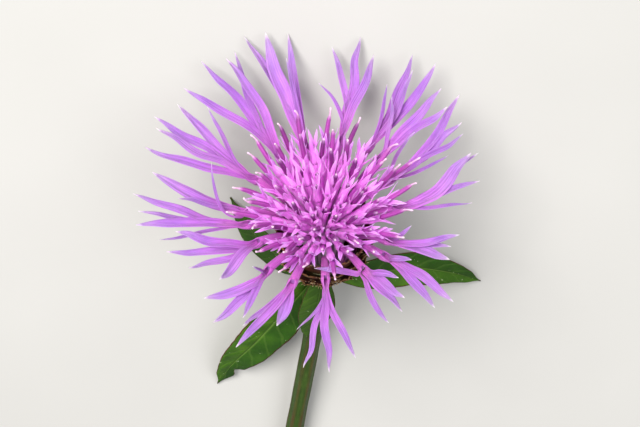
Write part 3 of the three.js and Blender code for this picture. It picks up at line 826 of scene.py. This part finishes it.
def bract(shape, angle, tip, count, row):
    foot = max(tip - BRACT_LENGTH, -INVOLUCRE_DEPTH + 0.3)
    t = np.linspace(0, 1, BRACT_STATIONS)
    height = foot + (tip - foot) * t
    lift = 0.12 + 0.32 * smooth(t, 0.55, 1) + rng.normal(0, 0.05)
    radius = outline(height) - BRACT_TUCK * (tip - height) / BRACT_LENGTH + lift
    full = 2 * math.pi * outline(tip - 1.2) / count * 0.62
    wide = np.interp(t, [0, 0.5, 0.6, 0.8, 0.93, 1], [0.85, 0.9, 0.78, 0.86, 0.55, 0.14]) * full
    u = np.linspace(-1, 1, BRACT_PLACES)
    turn = angle + u[None] * (wide / radius)[:, None]
    crown = -0.2 * u[None] ** 2 * smooth(t, 0, 0.4)[:, None]
    thick = (0.17 - 0.1 * smooth(t, 0.6, 1))[:, None] * (0.3 + 0.7 * (1 - u[None] ** 2))

    def skin(offset):
        r = radius[:, None] + crown + offset
        z = np.broadcast_to(height[:, None], r.shape)
        return in_head(np.stack([r * np.cos(turn), r * np.sin(turn), z], -1))

    rings = np.concatenate([skin(thick / 2), skin(-thick / 2)[:, ::-1]], 1)
    innermost = row == len(BRACT_ROWS) - 1
    tint = min(rng.uniform(0, 0.6) + (0.4 if innermost else 0), 1)
    shape.loft(rings, t, np.concatenate([u, u[::-1]]), tint, SCALE_PLACE, flat=True)
    fringe(shape, skin(0))


def bract_row(row):
    tip, count = BRACT_ROWS[row]
    shape = Shape()
    turn = math.pi / count if row % 2 else 0
    for k in range(count):
        bract(shape, turn + 2 * math.pi * k / count + rng.normal(0, 0.03), tip, count, row)
    name = f"bract_row_{row + 1}"
    shape.piece(name + "_scales", [BRACT, FRINGE], "bract", name)


# ---------------------------------------------------------------- stem and leaves
def on_stem(t):
    """A place on the stem's middle line, at 0 under the head and at 1 at the cut end."""
    a, b, c, d = STEM_POINTS
    return (1 - t) ** 3 * a + 3 * t * (1 - t) ** 2 * b + 3 * t * t * (1 - t) * c + t ** 3 * d


def stem():
    shape = Shape()
    line = bezier(*STEM_POINTS, STEM_STATIONS)
    t = np.linspace(0, 1, STEM_STATIONS)
    radius = STEM_RADIUS + (STEM_NECK - STEM_RADIUS) * (1 - smooth(t, 0, 0.28))
    turn = ring_angles(STEM_SIDES)
    ridge = 0.5 + 0.5 * np.cos(STEM_RIDGES * turn)
    ahead, rise, across = frames(line, (0, 0, 1))
    wobble = 0.012 * np.sin(t * 41)[:, None] + 0.01 * np.sin(t[:, None] * 67 + turn[None] * 2)
    r = radius[:, None] * (0.878 + 0.11 * ridge[None] ** 1.6 + wobble)
    rings = line[:, None] + across[:, None] * (r * np.cos(turn))[..., None]
    rings = rings + rise[:, None] * (r * np.sin(turn))[..., None]
    rings[..., 2] = np.maximum(rings[..., 2], 0.0)
    # The neck swells into the base of the scaly cup.
    top = rings[0].mean(0)
    neck = np.array([top + (rings[0] - top) * swell + EZ * height for height, swell in NECK_RINGS])
    shape.loft(np.concatenate([neck, rings]), np.r_[np.zeros(len(neck)), t], ridge, 0, SKIN_PLACE)
    # The cut face, a little hollow in the middle.
    middle = rings[-1].mean(0)
    cut = [(CUT_RINGS[0][0], -CUT_DEPTH)] + CUT_RINGS
    face = [middle + (rings[-1] - middle) * share + ahead[-1] * (0.04 + height) for share, height in cut]
    share = np.array([1.0] + [share for share, _ in CUT_RINGS])
    across = np.broadcast_to(share[:, None], (len(cut), STEM_SIDES))
    shape.loft(np.array(face), np.ones(len(cut)), across, 0, CUT_PLACE)
    shape.piece("stem_skin", [STEM_SKIN, STEM_CUT], "stem", "stem")


def leaf(name):
    spec = LEAVES[name]
    foot = on_stem(spec["on"]) - PLANT + unit(spec["side"]) * LEAF_FOOT
    line, _ = through([foot, *spec["path"]], LEAF_STATIONS)
    t = np.linspace(0, 1, LEAF_STATIONS)
    long = np.linalg.norm(np.diff(line, axis=0), axis=1).sum()
    ahead, rise, across = frames(line, spec["up"])
    t, u = t[:, None], np.linspace(-1, 1, LEAF_PLACES)[None]
    out = np.abs(u)

    taper = (0.16 + 0.84 * np.sin(math.pi * t ** 0.85)) * smooth(1 - t, -0.02, 0.12)
    half = spec["width"] / 2 * np.maximum(taper, 0.01)
    wavy = 0.018 * np.sin(t * long * 0.9) + 0.01 * np.sin(t * long * 3.1 + 1)
    bite = 1.0
    if name == "leaf_left":
        bite = 1 - 0.5 * smooth(t, 0.805, 0.83) * (1 - smooth(t, 0.84, 0.89))
    x = u * half * np.where(u < 0, 1 + wavy, (1 - wavy) * bite)

    fold = 0.28 * np.abs(x) * (1 - 0.35 * out) - 0.12 * np.exp(-(u / 0.09) ** 2) * (1 - 0.6 * t)
    quilt = 0.05 * np.sin(2 * math.pi * VEIN_PAIRS * (t - VEIN_SLANT * out)) * np.sin(math.pi * out)
    ruffle = 0.12 * out ** 3 * np.sin(t * long * 0.6 + np.sign(u) * 1.3)
    z = fold + quilt + ruffle * smooth(t, 0.05, 0.3) * smooth(1 - t, 0, 0.2)
    middle = in_plant(line)[:, None] + across[:, None] * x[..., None] + rise[:, None] * z[..., None]
    blade = LEAF_THICKNESS * 0.75 * (0.25 + 0.75 * (1 - out))
    rib = 0.3 * np.exp(-(u / 0.07) ** 2) * (1 - 0.7 * t)
    thick = blade + rib
    top = middle + rise[:, None] * (thick * 0.35)[..., None]
    bottom = middle - rise[:, None] * (thick * 0.65)[..., None]
    rings = np.concatenate([top, bottom[:, ::-1]], 1)
    rings[..., 2] = np.maximum(rings[..., 2], 0.02)
    shape = Shape()
    shape.loft(rings, t[:, 0], np.concatenate([u[0], u[0, ::-1]]), 0.5, 0, flat=True)
    # The leaves that lie in the flower's shade take the copy with painted shade.
    paint = LEAF_SHADED if name in ("leaf_under", "leaf_upper") else LEAF
    shape.piece(name + "_blade", [paint], "leaf", name)


for number in range(len(RAYS)):
    ray_floret(number)
for number in range(DISC_PLACES):
    disc_floret(number)
for number in range(len(BRACT_ROWS)):
    bract_row(number)
stem()
for leaf_name in LEAVES:
    leaf(leaf_name)


# ---------------------------------------------------------------- floor, light and camera
FLOOR_SIZE = 1.2  # in metres, as the lights' sizes and distances are
FLOOR_GAP = 0.05
CAMERA_LIFT = math.radians(57)
CAMERA_DISTANCE = 222.2
AIM_ASIDE, AIM_ABOVE = -0.375, 1.5625  # of the mouth's centre, across the view and up it


def world_light(color, strength):
    world = bpy.data.worlds.new("studio")
    world.use_nodes = True
    background = world.node_tree.nodes["Background"]
    background.inputs[0].default_value = color
    background.inputs[1].default_value = strength
    bpy.context.scene.world = world


def area_light(name, direction, distance, size, power, color=(1, 1, 1)):
    target = Vector(MOUTH * MM)
    data = bpy.data.lights.new(name, "AREA")
    data.shape, data.size, data.energy, data.color = "DISK", size, power, color
    light = bpy.data.objects.new(name, data)
    bpy.context.scene.collection.objects.link(light)
    way = Vector(direction).normalized()
    light.location = target + way * distance
    light.rotation_euler = way.to_track_quat("Z", "Y").to_euler()


bpy.ops.mesh.primitive_grid_add(x_subdivisions=8, y_subdivisions=8, size=FLOOR_SIZE,
                                location=(0, 0, -FLOOR_GAP * MM))
floor = bpy.context.object
floor.name = "floor"
floor.data.materials.append(floor_paint())

world_light((1, 1, 1, 1), 0.5)
area_light("key", (-0.4, 0.8, 0.95), 0.6, 0.3, 5.8, (1.0, 0.98, 0.95))
area_light("fill", (0.5, 0.4, 0.8), 0.7, 0.5, 2.0, (0.96, 0.98, 1.0))

towards = Vector((0, math.cos(CAMERA_LIFT), math.sin(CAMERA_LIFT)))
picture_up = Vector((0, math.sin(CAMERA_LIFT), -math.cos(CAMERA_LIFT)))
aim = Vector(MOUTH * MM) + Vector((AIM_ASIDE * MM, 0, 0)) + picture_up * AIM_ABOVE * MM
camera_data = bpy.data.cameras.new("camera")
camera_data.lens, camera_data.sensor_width = 100, 36
camera_data.clip_start, camera_data.clip_end = 0.01, 10
camera = bpy.data.objects.new("camera", camera_data)
bpy.context.scene.collection.objects.link(camera)
axes = Matrix((Vector((1, 0, 0)), picture_up, towards)).transposed()
camera.matrix_world = Matrix.Translation(aim + towards * CAMERA_DISTANCE * MM) @ axes.to_4x4()
bpy.context.scene.camera = camera
bpy.context.scene.view_settings.view_transform = "Standard"
